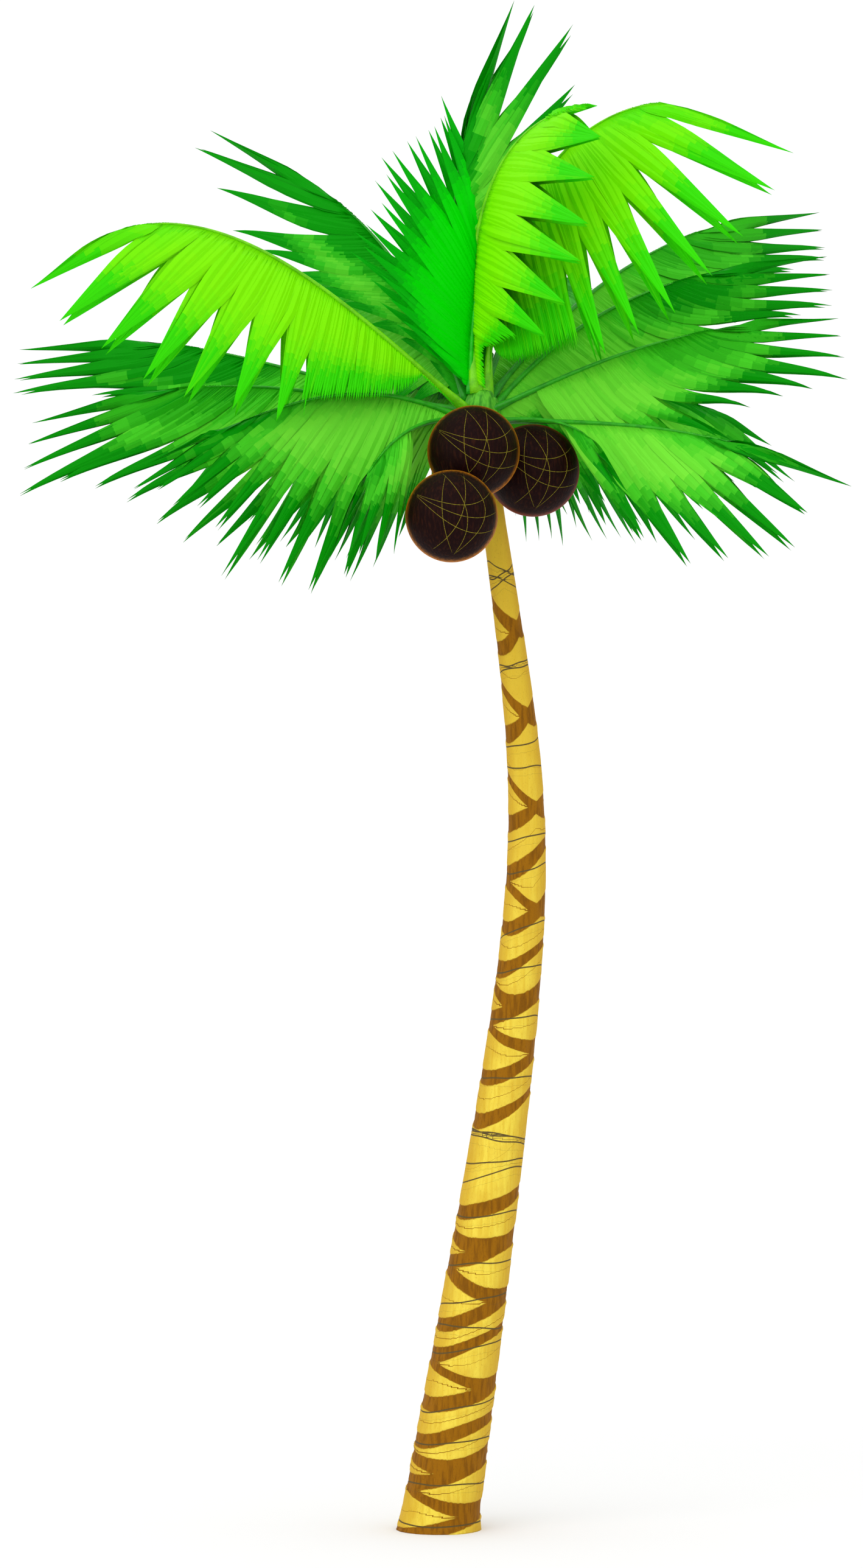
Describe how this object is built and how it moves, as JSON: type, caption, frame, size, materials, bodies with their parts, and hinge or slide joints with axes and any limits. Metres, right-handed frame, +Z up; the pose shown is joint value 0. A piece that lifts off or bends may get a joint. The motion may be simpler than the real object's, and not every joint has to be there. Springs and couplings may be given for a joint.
{
  "type": "coconut palm tree",
  "caption": "A whole coconut palm: a ringed, leaning trunk on a flat cut at ground level, with a full crown of arching fronds folded along their ribs, and round nuts under the crown.",
  "frame": {"origin": "the middle of the flat cut under the trunk, at ground level", "axes": "+Z is up along the palm's height; the trunk leans and bows in the X-Z plane, out towards +X; -Y is the side that the crown is widest seen from"},
  "size_m": [4.1536, 3.3581, 7.5493],
  "materials": {
    "bark": "ringed golden-tan bark, rough",
    "leaf_base": "dry fibrous leaf bases, rough",
    "leaf": "waxy green leaflets, satin",
    "nut": "dark brown husk with pale fibre lines"
  },
  "bodies": {
    "root": {"trunk": "bark", "heart": "leaf_base", "frond_back_high": "leaf", "frond_back_high_left": "leaf", "frond_back_high_right": "leaf", "frond_back_low_left": "leaf", "frond_back_low_right": "leaf", "frond_back_mid_left": "leaf", "frond_back_mid_right": "leaf", "frond_back_right": "leaf", "frond_front_arch_inner": "leaf", "frond_front_arch_outer": "leaf", "frond_left_arch_inner": "leaf", "frond_left_arch_outer": "leaf", "frond_left_back": "leaf", "frond_left_far": "leaf", "frond_left_low": "leaf", "frond_left_mid": "leaf", "frond_left_under": "leaf", "frond_right_arch_inner": "leaf", "frond_right_arch_outer": "leaf", "frond_right_front": "leaf", "frond_right_high": "leaf", "frond_right_low": "leaf", "frond_right_mid": "leaf", "frond_right_under": "leaf", "frond_top": "leaf", "frond_upright": "leaf"}
  },
  "joints": []
}
